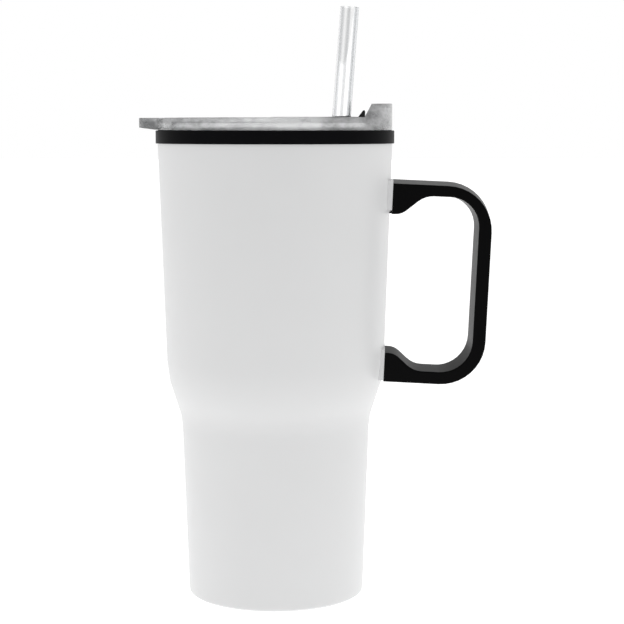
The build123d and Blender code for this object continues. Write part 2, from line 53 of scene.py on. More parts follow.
ARC_STEP = radians(9)  # turn between the points of a rounded corner
JOIN = 0.0003  # how far one solid sinks into the next before they are joined

# Steel shell
MOUTH_RADIUS = 0.0493
DRAFT = radians(1.95)
SHOULDER_STEP = 0.00535
SHOULDER_HEIGHT = 0.0847
SHOULDER_SLOPE = radians(23)
SHOULDER_UPPER_BEND = 0.050
SHOULDER_LOWER_BEND = 0.029
SHELL_WALL = 0.0006
FOOT_CORNER = 0.0015
FOOT_FLANGE = 0.0032

# Foot pad
PAD_GROOVES = (0.013, 0.021, 0.029)
PAD_GROOVE_WIDTH = 0.0016
PAD_GROOVE_DEPTH = 0.0004
PAD_GROOVE_TAPER = 0.7  # width of a groove's bottom as a share of its mouth
PAD_GROOVE_ROUND = 0.0001
PAD_EDGE_ROUND = 0.00025

# Liner and collar
LINER_INSET = 0.004
LINER_WALL = 0.0015
LINER_FLOOR = 0.0018
LINER_CORNER = 0.006
COLLAR_PLATE = 0.0019
COLLAR_SKIRT_WALL = 0.00065
COLLAR_CLEARANCE = 0.0001
SPIGOT_WALL = 0.0012
SPIGOT_DROP = 0.004
COLLAR_ROUND = 0.00035
SKIRT_BELOW_GASKET = 0.0025

# Handle, measured along its feet and arms
HANDLE_LEAN = radians(2.6)
HANDLE_STANDOFF = 0.001
HANDLE_REACH = 0.04175
HANDLE_HEIGHT = 0.0844
HANDLE_TOP_DROP = 0.0174
GRIP_THICKNESS = 0.00685
ARM_THICKNESS = 0.00605
LOWER_ARM_THICKNESS = 0.0066
HANDLE_OUTER_CORNER = 0.0187
HANDLE_INNER_CORNER = 0.0123
HANDLE_LOWER_INNER_CORNER = 0.0135
UPPER_FOOT_HEIGHT = 0.01415
LOWER_FOOT_HEIGHT = 0.01365
FOOT_REACH = 0.004
FOOT_RAMP_SLOPE = radians(40.5)
FOOT_NOSE_ROUND = 0.007
FOOT_THROAT_ROUND = 0.010
TOE_SIZE = 0.0013
HANDLE_EDGE_ROUND = 0.0005
HANDLE_TAPER = 0.0015  # how much a side draws in from the middle of the handle's width to a face
HANDLE_CORE = 0.001  # width of the untapered middle
TOE_WIDTH = 0.012
SCREW_HOLE_RADIUS = 0.0021
PILOT_RADIUS = 0.0017
SCREW_EDGE = 0.0044
PILOT_DEPTH = 0.010
BORE_START = 0.03  # where the screws' bores start and end, along X
SHELL_BORE_END = 0.06
SPACER_BORE_END = 0.07
SPACER_SETBACK = 0.0003

# Lid
LID_SETBACK = 0.0009
RIM_WALL = 0.0018
RIM_ROUND = 0.0006
DECK_DROP = 0.0021
DECK_THICKNESS = 0.0018
LID_HEIGHT = 0.0052
PLUG_WALL = 0.002
PLUG_CLEARANCE = 0.0009
SEAL_GROOVE_DEPTH = 0.001
SEAL_ROOM = 0.0001
SEAL_LIP = 0.0008
SEAL_LIP_ROUND = 0.0003
SEAL_WAIST_ROUND = 0.0002
SEAL_INNER_CLEARANCE = 0.00005
VENT_SETBACK = 0.0106
VENT_RADIUS = 0.001
TAB_ROOT_WIDTH = 0.024
TAB_TIP_WIDTH = 0.017
TAB_TIP_HEIGHT = 0.004
TAB_ROOT_HEIGHT = 0.0049
TAB_WALL = 0.0016
TAB_CORNER = 0.0035
SPOUT_LENGTH = 0.0085
SPOUT_TOP_FALL = 0.0004
SPOUT_WALL = 0.0018
SPOUT_ROUND = 0.0008
RAMP_RUN = 0.004
FINE_ROUND = 0.0003
PAINTED_LIGHT_MIDDLE = 0.002  # where the painted light on the lid's plastic is brightest, along X
PAINTED_LIGHT_REACH = 0.026

# Slide closure
SLIDER_CLEARANCE = 0.00015
SLIDER_TRAVEL = 0.012
RAIL_WALL = 0.0017
RAIL_LIP = 0.001
RAIL_LIP_HEIGHT = 0.0006
THUMB_LENGTH = 0.0034
THUMB_WIDTH = 0.012
THUMB_CREST = 0.0008
THUMB_CREST_ROUND = 0.0004
THUMB_NOSE_SETBACK = 0.00002
SLIDER_CORNER = 0.0012
SLIDER_EDGE_ROUND = 0.0002
GRIP_RIBS = 3
GRIP_RIB_PITCH = 0.003
GRIP_RIB_SIZE = (0.001, 0.011, 0.00045)
GRIP_RIB_CORNER = 0.0004
SLIDER_THICKNESS = 0.0016
SIP_LENGTH = 0.007
SIP_WIDTH = 0.013
SIP_CORNER = 0.003
SIP_SETBACK = 0.0024
SEAL_POCKET_MARGIN = 0.0013  # of the slider's pocket round the sip opening
SLIDE_SEAL_ROUND = 0.0001

# Straw and grommet
STRAW_RADIUS = 0.004
STRAW_WALL = 0.0008
STRAW_LEAN = radians(4.9)
STRAW_LIP_ROUND = 0.00025
DARK_LINE_SIDE = -0.04  # the painted shade line's place across the straw, in radii
GROMMET_CLEARANCE = 0.0001
GROMMET_WALL = 0.001
GROMMET_FLANGE = 0.0011
GROMMET_CAP = 0.0007
GROMMET_LIP = 0.0009
GROMMET_ROOM = 0.00215
GROMMET_SETBACK = 0.00002  # of the sleeve from its bore in the lid
BOSS_WALL = 0.001
BOSS_RISE = 0.002

# Levels and radii that follow from the frame and the sizes above
shell_foot, shell_top = (corner.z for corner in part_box("outer_shell"))
liner_foot, collar_top = (corner.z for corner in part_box("inner_liner"))
handle_top = shell_top - HANDLE_TOP_DROP
screw_heights = (handle_top - SCREW_EDGE, handle_top - HANDLE_HEIGHT * cos(HANDLE_LEAN) + SCREW_EDGE)
plug_foot, spout_top = (corner.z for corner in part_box("lid_body"))
seal_foot, seal_top = (corner.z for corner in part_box("lid_seal"))
slider_low, slider_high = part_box("slide_closure")
slide_seal_low, slide_seal_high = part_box("slide_seal")
straw_foot, straw_top = (corner.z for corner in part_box("straw"))
skirt_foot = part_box("collar_gasket")[0].z - SKIRT_BELOW_GASKET
collar_underside = collar_top - COLLAR_PLATE
collar_radius = MOUTH_RADIUS + COLLAR_CLEARANCE + COLLAR_SKIRT_WALL
cavity_inset = LINER_INSET + LINER_WALL
lid_radius = collar_radius - LID_SETBACK
rim_radius = lid_radius - RIM_WALL
lid_top = collar_top + LID_HEIGHT
deck_top = lid_top - DECK_DROP
deck_underside = deck_top - DECK_THICKNESS


# ---- The cup's side, which most pieces follow ----


def cone_radius(height, inset=0.0, lower=False):
    """Radius of the upper or lower cone, this far inside the shell's outer surface."""
    step = SHOULDER_STEP if lower else 0.0
    return MOUTH_RADIUS - (shell_top - height) * tan(DRAFT) - step - inset / cos(DRAFT)


def shoulder_radius(height, inset=0.0):
    """Radius of the shoulder's own slope, this far inside the shell's outer surface."""
    middle = cone_radius(SHOULDER_HEIGHT) - SHOULDER_STEP / 2
    return middle + (height - SHOULDER_HEIGHT) * tan(SHOULDER_SLOPE) - inset / cos(SHOULDER_SLOPE)


def side_corners(inset):
    """The shoulder's two corners at an inset, each with the radius of its bend."""
    corners = []
    for lower, bend in ((True, SHOULDER_LOWER_BEND + inset), (False, SHOULDER_UPPER_BEND - inset)):
        gap = cone_radius(0, inset, lower) - shoulder_radius(0, inset)
        height = gap / (tan(SHOULDER_SLOPE) - tan(DRAFT))
        corners.append((cone_radius(height, inset, lower), height, bend))
    return corners


plug_radius = cone_radius(plug_foot, cavity_inset) - PLUG_CLEARANCE
plug_bore = plug_radius - PLUG_WALL
sleeve_radius = STRAW_RADIUS + GROMMET_CLEARANCE + GROMMET_WALL
straw_relief = sleeve_radius + GROMMET_FLANGE + 4 * GROMMET_CLEARANCE
ramp_toe = lid_radius - SPOUT_LENGTH - RAMP_RUN
track_side = slider_high.y + SLIDER_CLEARANCE
rail_side = track_side + RAIL_WALL
straw_y = rail_side + straw_relief
straw_reach = plug_bore - sleeve_radius - GROMMET_LIP - GROMMET_ROOM
straw_x = sqrt(straw_reach**2 - straw_y**2)


# ---- Outlines ----


def rounded(corners, closed=False):
    """Points (x, z) along corners (x, z, radius), with an arc in place of each corner that has a radius."""
    points = []
    count = len(corners)
    for index, corner in enumerate(corners):
        x, z, radius = (*corner, 0.0)[:3]
        here = Vector((x, z))
        inner = closed or 0 < index < count - 1
        if not (radius and inner):
            points.append(here)
            continue
        before = (Vector(corners[index - 1][:2]) - here).normalized()
        after = (Vector(corners[(index + 1) % count][:2]) - here).normalized()
        half = before.angle(after) / 2
        middle = here + (before + after).normalized() * radius / sin(half)
        start = here + before * radius / tan(half) - middle
        turn = pi - 2 * half
        side = -1 if before.x * after.y - before.y * after.x > 0 else 1
        steps = max(2, round(turn / ARC_STEP))
        for step in range(steps + 1):
            angle = side * turn * step / steps
            points.append(middle + Matrix.Rotation(angle, 2) @ start)
    return points


# ---- Modelling ----


def only(piece):
    """Selects one object and nothing else."""
    bpy.ops.object.select_all(action="DESELECT")
    piece.select_set(True)
    bpy.context.view_layer.objects.active = piece


@contextmanager
def editing(piece, mode="VERT"):
    """Edit mode on one piece, with everything in it selected."""
    only(piece)
    bpy.ops.object.mode_set(mode="EDIT")
    bpy.ops.mesh.select_mode(type=mode)
    bpy.ops.mesh.select_all(action="SELECT")
    yield
    bpy.ops.object.mode_set(mode="OBJECT")


def pick(piece, kind, test):
    """In edit mode, selects the verts, edges or faces that pass a test, and nothing else."""
    bpy.ops.mesh.select_all(action="DESELECT")
    mesh = bmesh.from_edit_mesh(piece.data)
    for item in getattr(mesh, kind):
        if test(item):
            item.select_set(True)
    bmesh.update_edit_mesh(piece.data)


def middle(item):
    """Middle of an edge or a face."""
    return sum((corner.co for corner in item.verts), Vector()) / len(item.verts)


def named(name):
    """The newest primitive, named, with its place moved into its mesh."""
    piece = bpy.context.object
    piece.name = piece.data.name = name
    bpy.ops.object.transform_apply(location=True, rotation=True, scale=True)
    return piece


def outline(name, points, closed):
    """A thin line in the XZ plane: one vertex, extruded from point to point."""
    first = points[0]
    bpy.ops.object.select_all(action="DESELECT")
    bpy.ops.mesh.primitive_plane_add(size=0.001, location=(first.x, 0, first.y))
    piece = named(name)
    with editing(piece):
        bpy.ops.mesh.merge(type="CENTER")
        for start, end in zip(points, points[1:]):
            step = end - start
            bpy.ops.mesh.extrude_region_move(TRANSFORM_OT_translate={"value": (step.x, 0, step.y)})
        if closed:
            pick(piece, "verts", lambda vertex: len(vertex.link_edges) == 1)
            bpy.ops.mesh.edge_face_add()
    return piece


def turned(name, corners, closed=True):
    """A solid turned about Z from its outline; an open outline starts and ends on the axis."""
    piece = outline(name, rounded(corners, closed), closed)
    with editing(piece):
        bpy.ops.mesh.spin(steps=TURN_STEPS, angle=2 * pi, center=(0, 0, 0), axis=(0, 0, 1))
        tidy_mesh()
    return piece


def tidy_mesh():
    """In edit mode, merges doubled points and turns every face outwards."""
    bpy.ops.mesh.select_all(action="SELECT")
    bpy.ops.mesh.remove_doubles(threshold=1e-6)
    bpy.ops.mesh.normals_make_consistent(inside=False)


def slab(name, corners, low, high):
    """A flat solid with its outline in the XZ plane, between two places along Y."""
    piece = outline(name, rounded(corners, closed=True), closed=True)
    with editing(piece):
        bpy.ops.mesh.edge_face_add()
        bpy.ops.transform.translate(value=(0, low, 0))
        bpy.ops.mesh.extrude_region_move(TRANSFORM_OT_translate={"value": (0, high - low, 0)})
        tidy_mesh()
    return piece


def plate(name, low, high, corner=0.0, segments=8):
    """A box between two corners, with its upright edges rounded."""
    low, high = Vector(low), Vector(high)
    bpy.ops.object.select_all(action="DESELECT")
    bpy.ops.mesh.primitive_cube_add(size=1, location=(low + high) / 2, scale=high - low)
    piece = named(name)
    if corner:
        with editing(piece, "EDGE"):
            pick(piece, "edges", lambda edge: abs(edge.verts[0].co.z - edge.verts[1].co.z) > 1e-5)
            bpy.ops.mesh.bevel(offset=corner, segments=segments, affect="EDGES")
    return piece


def rod(name, radius, low, high, x=0.0, y=0.0, steps=64):
    """An upright cylinder."""
    bpy.ops.object.select_all(action="DESELECT")
    bpy.ops.mesh.primitive_cylinder_add(
        vertices=steps, radius=radius, depth=high - low, location=(x, y, (low + high) / 2)
    )
    return named(name)


def round_edges(piece, width, segments, test):
    """Bevels the edges of a piece that pass a test."""
    with editing(piece, "EDGE"):
        pick(piece, "edges", test)
        bpy.ops.mesh.bevel(offset=width, segments=segments, affect="EDGES", clamp_overlap=True)
        tidy_mesh()


def sharp(edge, angle=radians(30)):
    """Whether the faces beside an edge meet at more than an angle."""
    return len(edge.link_faces) == 2 and edge.calc_face_angle(0) > angle


def combine(piece, other, operation):
    """Joins, cuts or intersects a piece with another, which is used up."""
    only(piece)
    change = piece.modifiers.new("combine", "BOOLEAN")
    change.operation, change.solver, change.object = operation, "EXACT", other
    bpy.ops.object.modifier_apply(modifier=change.name)
    bpy.data.objects.remove(other)
    return piece


def finished(piece, finish, body, *nodes, angle=radians(32), weighted=False):
    """Shades a piece, gives it its finish and its body, and hides the solids it stands for."""
    only(piece)
    with editing(piece):
        bpy.ops.mesh.remove_doubles(threshold=2e-6)
        bpy.ops.mesh.dissolve_degenerate(threshold=1e-6)
    bpy.ops.object.shade_smooth_by_angle(angle=angle)
    if weighted:
        even = piece.modifiers.new("even_normals", "WEIGHTED_NORMAL")
        even.keep_sharp = True
        bpy.ops.object.modifier_apply(modifier=even.name)
    piece.data.materials.clear()
    piece.data.materials.append(finish.material)
    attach(piece, body)
    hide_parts(*nodes)
    return piece


# ---- Finishes ----


class Value:
    """A shader socket that takes part in arithmetic; each operation adds its Math node."""

    def __init__(self, nodes, socket):
        self.nodes, self.socket = nodes, socket

    def math(self, operation, *values):
        return self.nodes.math(operation, *values)

    def __add__(self, other):
        return self.math("ADD", self, other)

    def __sub__(self, other):
        return self.math("SUBTRACT", self, other)

    def __rsub__(self, other):
        return self.math("SUBTRACT", other, self)

    def __mul__(self, other):
        return self.math("MULTIPLY", self, other)

    def __truediv__(self, other):
        return self.math("DIVIDE", self, other)

    __radd__ = __add__
    __rmul__ = __mul__

    def absolute(self):
        return self.math("ABSOLUTE", self)


class Nodes:
    """A node tree that nodes are added to."""

    def __init__(self, tree):
        self.tree = tree

    def math(self, operation, *values):
        """Adds a Math node."""
        return self.node("Math", {"operation": operation}, dict(enumerate(values)))

    def node(self, kind, settings=None, inputs=None, output=0):
        """Adds a node, sets it up, feeds its sockets and returns one of its outputs."""
        made = self.tree.nodes.new("ShaderNode" + kind)
        for name, setting in (settings or {}).items():
            setattr(made, name, setting)
        self.feed(made, inputs or {})
        return Value(self, made.outputs[output])

    def feed(self, node, inputs):
        """Gives each named socket its number, colour or link."""
        for name, value in inputs.items():
            if isinstance(value, Value):
                self.tree.links.new(value.socket, node.inputs[name])
            else:
                node.inputs[name].default_value = value


class Finish(Nodes):
    """A material with its own node tree, which keeps the name of a slot in the record."""

    def __init__(self, name, slot):
        self.slot = slot
        self.material = bpy.data.materials.new(name)
        self.material.use_nodes = True
        super().__init__(self.material.node_tree)
        self.surface = self.tree.nodes["Principled BSDF"]

    def set(self, **inputs):
        """Feeds the surface's sockets, named in snake case."""
        self.feed(self.surface, {SOCKETS[name]: value for name, value in inputs.items()})

    def place(self):
        """Object coordinates."""
        return self.node("TexCoord", output="Object")

    def noise(self, scale, detail=2.0, roughness=0.5, stretch=(1, 1, 1), tilt=0.0):
        """Noise from 0 to 1, with this many features in a metre, stretched and tilted about Y."""
        leaning = {"Vector": self.place(), "Rotation": (0, tilt, 0), "Scale": stretch}
        place = self.node("Mapping", inputs=leaning)
        settings = {"Vector": place, "Scale": scale, "Detail": detail, "Roughness": roughness}
        return self.node("TexNoise", inputs=settings)

    def steepen(self, value, low, high):
        """0 below one value and 1 above another, smooth between them."""
        ranges = {"Value": value, "From Min": low, "From Max": high}
        return self.node("MapRange", {"interpolation_type": "SMOOTHSTEP"}, ranges)

    def blend(self, share, first, second):
        """A colour between two colours."""
        mixed = self.tree.nodes.new("ShaderNodeMix")
        mixed.data_type = "RGBA"
        colours = [socket for socket in mixed.inputs if socket.type == "RGBA"]
        colours[0].default_value, colours[1].default_value = (*first, 1), (*second, 1)
        self.feed(mixed, {"Factor": share})
        return Value(self, next(out for out in mixed.outputs if out.type == "RGBA"))

    def relief(self, height, depth, strength=1.0):
        """A bumped normal from a height between 0 and 1, this deep in metres."""
        settings = {"Height": height, "Distance": depth, "Strength": strength}
        return self.node("Bump", inputs=settings)


SOCKETS = {
    "colour": "Base Color",
    "roughness": "Roughness",
    "metallic": "Metallic",
    "normal": "Normal",
    "specular": "Specular IOR Level",
    "ior": "IOR",
    "transmission": "Transmission Weight",
    "glow": "Emission Color",
    "glow_strength": "Emission Strength",
}


def powder_coat():
    """White powder coat: satin, with a fine orange peel."""
    coat = Finish("powder_coat", "shell_coat")
    mottle = coat.noise(30, 3)
    peel = coat.noise(900, 2)
    grain = coat.noise(3200, 1)
    coat.set(
        colour=coat.blend(mottle, (0.668, 0.670, 0.672), (0.694, 0.696, 0.698)),
        roughness=0.36 + 0.10 * coat.noise(140, 3),
        normal=coat.relief(peel * 0.75 + grain * 0.25, 0.00004, 0.5),
    )
    return coat


def black_moulding(name, slot, roughness, shade, specular):
    """Black moulded plastic with a fine spark-eroded grain."""
    moulding = Finish(name, slot)
    tone = (shade, shade, shade * 1.15)
    moulding.set(
        colour=moulding.blend(moulding.noise(60, 3), tone, [part * 1.6 for part in tone]),
        roughness=roughness + 0.08 * moulding.noise(420, 3),
        normal=moulding.relief(moulding.noise(2600, 2), 0.00002, 0.4),
        specular=specular,
    )
    return moulding


def lid_plastic():
    """Clear plastic of the lid: greyish, with painted light that is brightest near the middle, painted
    shade in cloudy slanting bands, a tab painted a deeper grey and a satin haze.
    """
    clear = Finish("lid_plastic", "clear_plastic")
    # painted shade in cloudy slanting bands; the slanting noise also bumps the surface
    shade_blotches = clear.noise(26, 2)
    ripples_and_shade_streaks = clear.noise(150, 3, 0.6, stretch=(1, 1, 2.2), tilt=radians(28))
    painted_streak_shade = clear.steepen(shade_blotches * 0.45 + ripples_and_shade_streaks * 0.55, 0.36, 0.64)
    across = clear.node("SeparateXYZ", inputs={"Vector": clear.place()}, output="X")
    # painted light, brightest near the middle along X
    painted_light = 1 - clear.steepen((across - PAINTED_LIGHT_MIDDLE).absolute(), PAINTED_LIGHT_REACH / 3, PAINTED_LIGHT_REACH)
    # the tab beyond the rim is painted a deeper grey
    darker_tab = clear.steepen(0 - across, lid_radius - 0.001, lid_radius + 0.001)
    # painted light and shade, fed to the base colour
    painted_light_and_shade = (0.7 * painted_streak_shade + 0.65 * painted_light) * (1 - 0.85 * darker_tab)
    clear.set(
        colour=clear.blend(painted_light_and_shade, (0.33, 0.335, 0.34), (0.98, 0.985, 0.99)),
        roughness=0.08 + 0.12 * clear.noise(160, 3),
        normal=clear.relief(ripples_and_shade_streaks, 0.0004, 0.35),
        transmission=0.62,
        ior=1.5,
    )
    return clear


def straw_plastic():
    """Water-clear plastic of the straw, with painted shade: deeper grey where the wall is seen edge-on, on
    its +X side and in bands along its sides, and along a faint painted line near its middle.
    """
    clear = Finish("straw_plastic", "clear_plastic")
    facing = clear.node("LayerWeight", inputs={"Blend": 0.5}, output="Facing")
    x, z = (clear.node("SeparateXYZ", inputs={"Vector": clear.place()}, output=axis) for axis in "XZ")
    drift = tan(STRAW_LEAN) * straw_x / straw_reach
    across = (x - straw_x - (z - deck_top) * drift) / STRAW_RADIUS
    # painted shade, heavier on the +X side of the straw
    painted_dark_side = clear.steepen(across, -0.3, 0.3)
    # painted shade where the wall is seen edge-on
    edge = clear.steepen(facing, 0.1, 0.35) * (0.35 + 0.65 * painted_dark_side)
    # painted shade in bands along both sides
    painted_side_shade = clear.steepen(across.absolute(), 0.45, 0.75) * (0.45 + 0.15 * painted_dark_side)
    # a faint painted shade line near the middle
    painted_middle_line = 0.45 * (1 - clear.steepen((across - DARK_LINE_SIDE).absolute(), 0.06, 0.28))
    lines = clear.noise(900, 2, stretch=(1, 1, 0.02))
    # all the painted shade together, broken up by fine lines along the straw
    depth = (edge.math("MAXIMUM", edge, painted_middle_line) + painted_side_shade) * (0.85 + 0.3 * lines)
    clear.set(
        colour=clear.blend(depth, (1.0, 1.0, 1.0), (0.62, 0.63, 0.64)),
        roughness=0.01 + 0.02 * lines,
        normal=clear.relief(lines, 0.00001, 0.2),
        transmission=1.0,
        specular=0.2,
        ior=1.49,
    )
    return clear


def silicone(name, slot, shade=0.02):
    """Black silicone rubber: dull, with a soft grain."""
    rubber = Finish(name, slot)
    tone = (shade, shade, shade * 1.05)
    rubber.set(
        colour=rubber.blend(rubber.noise(80, 3), tone, [part * 1.7 for part in tone]),
        roughness=0.55 + 0.2 * rubber.noise(500, 2),
        normal=rubber.relief(rubber.noise(1500, 3), 0.00004, 0.5),
    )
    return rubber


def brushed_steel():
    """Plain stainless steel with fine marks."""
    steel = Finish("brushed_steel", "steel")
    marks = steel.noise(260, 4, stretch=(1, 14, 1))
    steel.set(
        colour=steel.blend(marks, (0.50, 0.50, 0.51), (0.66, 0.66, 0.67)),
        roughness=0.22 + 0.2 * marks,
        normal=steel.relief(marks, 0.00002, 0.4),
        metallic=1.0,
    )
    return steel


# ---- Cup ----


def shell(finish):
    """Thin steel shell with an inturned foot, open at the top."""
    flange = cone_radius(shell_foot, lower=True) - FOOT_FLANGE
    inner_foot = shell_foot + SHELL_WALL
    lower, upper = side_corners(0)
    lower_inside, upper_inside = side_corners(SHELL_WALL)
    piece = turned(
        "shell",
        [
            (flange, shell_foot),
            (cone_radius(shell_foot, lower=True), shell_foot, FOOT_CORNER),
            lower,
            upper,
            (cone_radius(shell_top), shell_top),
            (cone_radius(shell_top, SHELL_WALL), shell_top),
            upper_inside,
            lower_inside,
            (cone_radius(inner_foot, SHELL_WALL, lower=True), inner_foot, FOOT_CORNER - SHELL_WALL),
            (flange, inner_foot),
        ],
    )
    for height in screw_heights:
        combine(piece, screw_bore(SCREW_HOLE_RADIUS, height, BORE_START, SHELL_BORE_END), "DIFFERENCE")
    return finished(piece, finish, "cup", "outer_shell")


def screw_bore(radius, height, start, end):
    """A round bar along X, to cut a screw's hole with."""
    bpy.ops.object.select_all(action="DESELECT")
    bpy.ops.mesh.primitive_cylinder_add(
        vertices=40,
        radius=radius,
        depth=end - start,
        location=((start + end) / 2, 0, height),
        rotation=(0, pi / 2, 0),
    )
    return named("bore")


def foot_pad(finish):
    """Rubber disc under the cup, with rounded rings of grip grooves."""
    low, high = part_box("foot_pad")
    radius = high.y
    half = PAD_GROOVE_WIDTH / 2
    corners = [(0, low.z)]
    for groove in PAD_GROOVES:
        corners += [
            (groove - half, low.z, PAD_GROOVE_ROUND),
            (groove - half * PAD_GROOVE_TAPER, low.z + PAD_GROOVE_DEPTH, PAD_GROOVE_ROUND),
            (groove + half * PAD_GROOVE_TAPER, low.z + PAD_GROOVE_DEPTH, PAD_GROOVE_ROUND),
            (groove + half, low.z, PAD_GROOVE_ROUND),
        ]
    corners += [(radius, low.z, PAD_EDGE_ROUND), (radius, high.z), (0, high.z)]
    return finished(turned("foot_pad_rubber", corners, closed=False), finish, "cup", "foot_pad")


def liner(finish):
    """Plastic liner with its collar over the shell's top edge."""
    floor_level = liner_foot + LINER_FLOOR
    lower, upper = side_corners(LINER_INSET)
    lower_inside, upper_inside = side_corners(cavity_inset)
    skirt_inner = MOUTH_RADIUS + COLLAR_CLEARANCE
    spigot_foot = shell_top - SPIGOT_DROP
    spigot_outer = cone_radius(spigot_foot, SHELL_WALL) - COLLAR_CLEARANCE
    spigot_inner = spigot_outer - SPIGOT_WALL
    lip = SHELL_WALL / 3
    piece = turned(
        "liner",
        [
            (0, liner_foot),
            (cone_radius(liner_foot, LINER_INSET, lower=True), liner_foot, LINER_CORNER),
            lower,
            upper,
            (cone_radius(collar_underside, LINER_INSET), collar_underside, lip),
            (spigot_inner, collar_underside, lip),
            (spigot_inner, spigot_foot, lip),
            (spigot_outer, spigot_foot, lip),
            (spigot_outer, collar_underside),
            (skirt_inner, collar_underside),
            (skirt_inner, skirt_foot, lip),
            (collar_radius, skirt_foot, lip),
            (collar_radius, collar_top, COLLAR_ROUND),
            (cone_radius(collar_top, cavity_inset), collar_top, COLLAR_ROUND),
            upper_inside,
            lower_inside,
            (cone_radius(floor_level, cavity_inset, lower=True), floor_level, LINER_CORNER - LINER_WALL),
            (0, floor_level),
        ],
        closed=False,
    )
    return finished(piece, finish, "cup", "inner_liner")


def along_handle(piece):
    """Leans a piece, made with the upper foot's top corner at the origin, and puts it in its place."""
    only(piece)
    turn = Matrix.Rotation(HANDLE_LEAN, 4, "Y")
    corner = cone_radius(handle_top) + HANDLE_STANDOFF
    piece.matrix_world = Matrix.Translation((corner, 0, handle_top)) @ turn
    bpy.ops.object.transform_apply(location=True, rotation=True, scale=True)
    return piece


def taper_sides(piece, half):
    """Widens the grip's thin core to both faces; the sides that face up or face the fingers draw in."""
    inside = HANDLE_REACH - GRIP_THICKNESS
    middle_height = -HANDLE_HEIGHT / 2
    depth = half - HANDLE_CORE / 2
    for side in (-1, 1):
        with editing(piece, "FACE"):
            pick(piece, "faces", lambda face: face.normal.y * side > 0.99)
            bpy.ops.mesh.extrude_region_move(TRANSFORM_OT_translate={"value": (0, side * depth, 0)})

    def inner(vertex):
        between = LOWER_ARM_THICKNESS - HANDLE_HEIGHT - 1e-5 < vertex.co.z < 1e-5 - ARM_THICKNESS
        return vertex.co.x < inside + 1e-5 and between

    ends = [vertex for vertex in piece.data.vertices if abs(abs(vertex.co.y) - half) < 1e-5]
    upper = {end.index for end in ends if not inner(end) and end.co.z > middle_height}
    lower = {end.index for end in ends if inner(end) and end.co.z < middle_height}
    bar = {end.index for end in ends if inner(end) and end.co.x > inside - HANDLE_LOWER_INNER_CORNER - 1e-5}
    with editing(piece):
        for chosen, shift in (
            (upper, (0, 0, -HANDLE_TAPER)),
            (lower, (0, 0, -HANDLE_TAPER)),
            (bar, (HANDLE_TAPER, 0, 0)),
        ):
            pick(piece, "verts", lambda vertex: vertex.index in chosen)
            bpy.ops.transform.translate(value=shift)


def handle(finish):
    """C-shaped grip with two flat-ended feet, rounded along its edges, and a toe under the upper foot."""
    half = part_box("handle")[1].y
    ramp = 1 / tan(FOOT_RAMP_SLOPE)
    inside = HANDLE_REACH - GRIP_THICKNESS
    upper_throat = FOOT_REACH + (UPPER_FOOT_HEIGHT - ARM_THICKNESS) * ramp
    lower_throat = FOOT_REACH + (LOWER_FOOT_HEIGHT - LOWER_ARM_THICKNESS) * ramp
    lower_foot = LOWER_FOOT_HEIGHT - HANDLE_HEIGHT
    lower_arm = LOWER_ARM_THICKNESS - HANDLE_HEIGHT
    piece = slab(
        "grip",
        [
            (0, 0),
            (HANDLE_REACH, 0, HANDLE_OUTER_CORNER),
            (HANDLE_REACH, -HANDLE_HEIGHT, HANDLE_OUTER_CORNER),
            (0, -HANDLE_HEIGHT),
            (0, lower_foot),
            (FOOT_REACH, lower_foot, FOOT_NOSE_ROUND),
            (lower_throat, lower_arm, FOOT_THROAT_ROUND),
            (inside, lower_arm, HANDLE_LOWER_INNER_CORNER),
            (inside, -ARM_THICKNESS, HANDLE_INNER_CORNER),
            (upper_throat, -ARM_THICKNESS, FOOT_THROAT_ROUND),
            (FOOT_REACH, -UPPER_FOOT_HEIGHT, FOOT_NOSE_ROUND),
            (0, -UPPER_FOOT_HEIGHT),
        ],
        -HANDLE_CORE / 2,
        HANDLE_CORE / 2,
    )
    taper_sides(piece, half)
    round_edges(piece, HANDLE_EDGE_ROUND, 3, lambda edge: abs(abs(middle(edge).y) - half) < 1e-5)
    toe_foot, toe_top = -UPPER_FOOT_HEIGHT, TOE_SIZE - UPPER_FOOT_HEIGHT
    toe_side = TOE_WIDTH / 2
    corners = [(0, toe_top), (-TOE_SIZE, toe_foot), (TOE_SIZE, toe_foot), (TOE_SIZE, toe_top)]
    combine(piece, slab("toe", corners, -toe_side, toe_side), "UNION")
    along_handle(piece)
    combine(piece, cup_blank(), "DIFFERENCE")
    for height in screw_heights:
        end = cone_radius(height) + PILOT_DEPTH
        combine(piece, screw_bore(PILOT_RADIUS, height, BORE_START, end), "DIFFERENCE")
    piece.visible_diffuse = False
    return finished(piece, finish, "cup", "handle", weighted=True)


def handle_spacers(finish):
    """Two coated pads under the handle's feet, flat outside and curved to the shell."""
    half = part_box("handle_spacers")[1].y
    upper = (TOE_SIZE - UPPER_FOOT_HEIGHT + SPACER_SETBACK, -SPACER_SETBACK)
    lower = (SPACER_SETBACK - HANDLE_HEIGHT, LOWER_FOOT_HEIGHT - HANDLE_HEIGHT - SPACER_SETBACK)
    pair = None
    for height, (low, high) in zip(screw_heights, (upper, lower)):
        pad = along_handle(plate("pad", (-FOOT_REACH, -half, low), (0, half, high)))
        combine(pad, cup_blank(), "DIFFERENCE")
        bore = screw_bore(SCREW_HOLE_RADIUS, height, BORE_START, SPACER_BORE_END)
        combine(pad, bore, "DIFFERENCE")
        pair = combine(pair, pad, "UNION") if pair else pad
    pair.name = pair.data.name = "handle_pads"
    return finished(pair, finish, "cup", "handle_spacers")


def cup_blank():
    """The space that the shell's outer surface encloses."""
    low = 0.06
    return turned(
        "cup_blank",
        [
            (0, low),
            (cone_radius(low, lower=True), low),
            *side_corners(0),
            (cone_radius(shell_top), shell_top),
            (0, shell_top),
        ],
        closed=False,
    )


# ---- Lid ----


